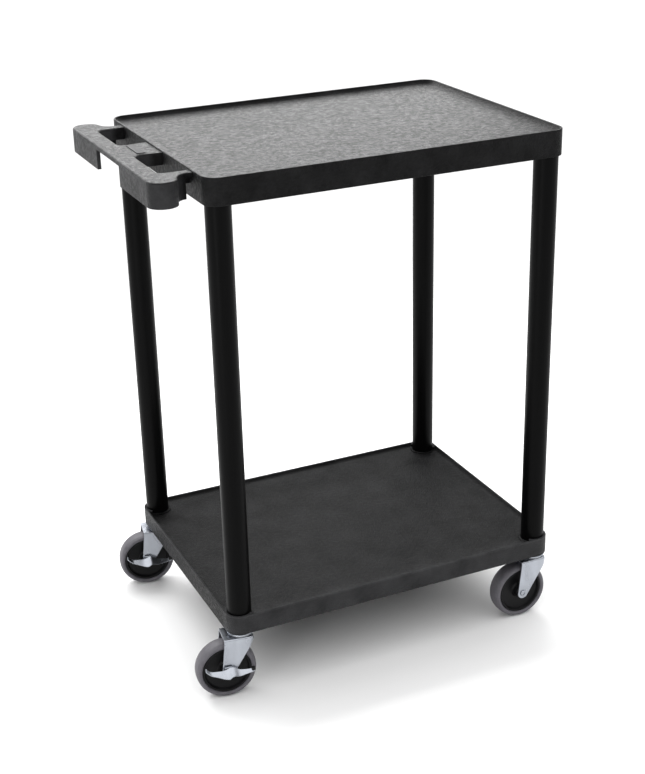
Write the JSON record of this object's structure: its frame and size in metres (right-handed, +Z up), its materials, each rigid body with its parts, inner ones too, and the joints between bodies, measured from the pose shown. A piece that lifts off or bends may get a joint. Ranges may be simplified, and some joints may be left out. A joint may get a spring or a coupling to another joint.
{
  "type": "rolling utility cart",
  "caption": "Rolling utility cart with two moulded tray shelves on round tube legs, an end handle with hand holes, and swivel casters, some with side brakes.",
  "frame": {"origin": "on the floor, under the middle of the whole cart's bounding box", "axes": "+X along the shelves from the handle end to the plain end, +Y across the shelves towards the back, +Z up"},
  "size_m": [0.6856, 0.4744, 0.885],
  "materials": {
    "moulded_plastic": "near-black moulded polyethylene with a fine mottled grain, satin",
    "leg_plastic": "black extruded tube, smooth satin sheen",
    "label_film": "blank grey film, satin",
    "nylon": "black moulded nylon, matt",
    "zinc_plate": "bright zinc-plated pressed steel, slightly clouded",
    "plain_steel": "turned steel, light oil",
    "grey_rubber": "smooth non-marking grey rubber, satin",
    "hub_plastic": "black moulded nylon, satin",
    "black_rubber": "black rubber, matt"
  },
  "bodies": {
    "frame": {"bottom_shelf": "moulded_plastic", "bridge_label": "label_film", "caster_stem_front_left": "plain_steel", "caster_stem_front_right": "plain_steel", "caster_stem_rear_left": "plain_steel", "caster_stem_rear_right": "plain_steel", "leg_front_left": "leg_plastic", "leg_front_right": "leg_plastic", "leg_rear_left": "leg_plastic", "leg_rear_right": "leg_plastic", "stem_socket_front_left": "nylon", "stem_socket_front_right": "nylon", "stem_socket_rear_left": "nylon", "stem_socket_rear_right": "nylon", "top_shelf": "moulded_plastic", "upper_race_front_left": "zinc_plate", "upper_race_front_right": "zinc_plate", "upper_race_rear_left": "zinc_plate", "upper_race_rear_right": "zinc_plate"},
    "swivel_front_left": {"fork_front_left": "zinc_plate", "ball_ring_front_left": "plain_steel", "axle_bolt_front_left": "zinc_plate", "axle_nut_front_left": "zinc_plate", "axle_sleeve_front_left": "plain_steel"},
    "wheel_front_left": {"wheel_hub_front_left": "hub_plastic", "tyre_front_left": "grey_rubber"},
    "brake_front_left": {"brake_pedal_front_left": "zinc_plate", "brake_pad_front_left": "black_rubber"},
    "swivel_rear_left": {"fork_rear_left": "zinc_plate", "ball_ring_rear_left": "plain_steel", "axle_bolt_rear_left": "zinc_plate", "axle_nut_rear_left": "zinc_plate", "axle_sleeve_rear_left": "plain_steel"},
    "wheel_rear_left": {"wheel_hub_rear_left": "hub_plastic", "tyre_rear_left": "grey_rubber"},
    "brake_rear_left": {"brake_pedal_rear_left": "zinc_plate", "brake_pad_rear_left": "black_rubber"},
    "swivel_front_right": {"fork_front_right": "zinc_plate", "ball_ring_front_right": "plain_steel", "axle_bolt_front_right": "zinc_plate", "axle_nut_front_right": "zinc_plate", "axle_sleeve_front_right": "plain_steel"},
    "wheel_front_right": {"wheel_hub_front_right": "hub_plastic", "tyre_front_right": "grey_rubber"},
    "swivel_rear_right": {"fork_rear_right": "zinc_plate", "ball_ring_rear_right": "plain_steel", "axle_bolt_rear_right": "zinc_plate", "axle_nut_rear_right": "zinc_plate", "axle_sleeve_rear_right": "plain_steel"},
    "wheel_rear_right": {"wheel_hub_rear_right": "hub_plastic", "tyre_rear_right": "grey_rubber"}
  },
  "joints": [
    {"name": "swivel_turn_front_left", "type": "hinge", "parent": "frame", "child": "swivel_front_left", "pos_m": [-0.2423, -0.20278, 0.115], "axis": [0, 0, 1], "continuous": true},
    {"name": "wheel_spin_front_left", "type": "hinge", "parent": "swivel_front_left", "child": "wheel_front_left", "pos_m": [-0.27003, -0.19888, 0.0508], "axis": [0.1392, 0.9903, 0], "continuous": true},
    {"name": "brake_rock_front_left", "type": "hinge", "parent": "swivel_front_left", "child": "brake_front_left", "pos_m": [-0.27003, -0.19888, 0.0508], "axis": [0.1392, 0.9903, 0], "range_deg": [-12, 0]},
    {"name": "swivel_turn_rear_left", "type": "hinge", "parent": "frame", "child": "swivel_rear_left", "pos_m": [-0.2423, 0.20542, 0.115], "axis": [0, 0, 1], "continuous": true},
    {"name": "wheel_spin_rear_left", "type": "hinge", "parent": "swivel_rear_left", "child": "wheel_rear_left", "pos_m": [-0.26987, 0.21029, 0.0508], "axis": [0.1736, 0.9848, 0], "continuous": true},
    {"name": "brake_rock_rear_left", "type": "hinge", "parent": "swivel_rear_left", "child": "brake_rear_left", "pos_m": [-0.26987, 0.21029, 0.0508], "axis": [0.1736, 0.9848, 0], "range_deg": [-12, 0]},
    {"name": "swivel_turn_front_right", "type": "hinge", "parent": "frame", "child": "swivel_front_right", "pos_m": [0.3183, -0.20278, 0.115], "axis": [0, 0, 1], "continuous": true},
    {"name": "wheel_spin_front_right", "type": "hinge", "parent": "swivel_front_right", "child": "wheel_front_right", "pos_m": [0.2903, -0.20278, 0.0508], "axis": [0, 1, 0], "continuous": true},
    {"name": "swivel_turn_rear_right", "type": "hinge", "parent": "frame", "child": "swivel_rear_right", "pos_m": [0.3183, 0.20542, 0.115], "axis": [0, 0, 1], "continuous": true},
    {"name": "wheel_spin_rear_right", "type": "hinge", "parent": "swivel_rear_right", "child": "wheel_rear_right", "pos_m": [0.29041, 0.20786, 0.0508], "axis": [0.0872, 0.9962, 0], "continuous": true}
  ]
}
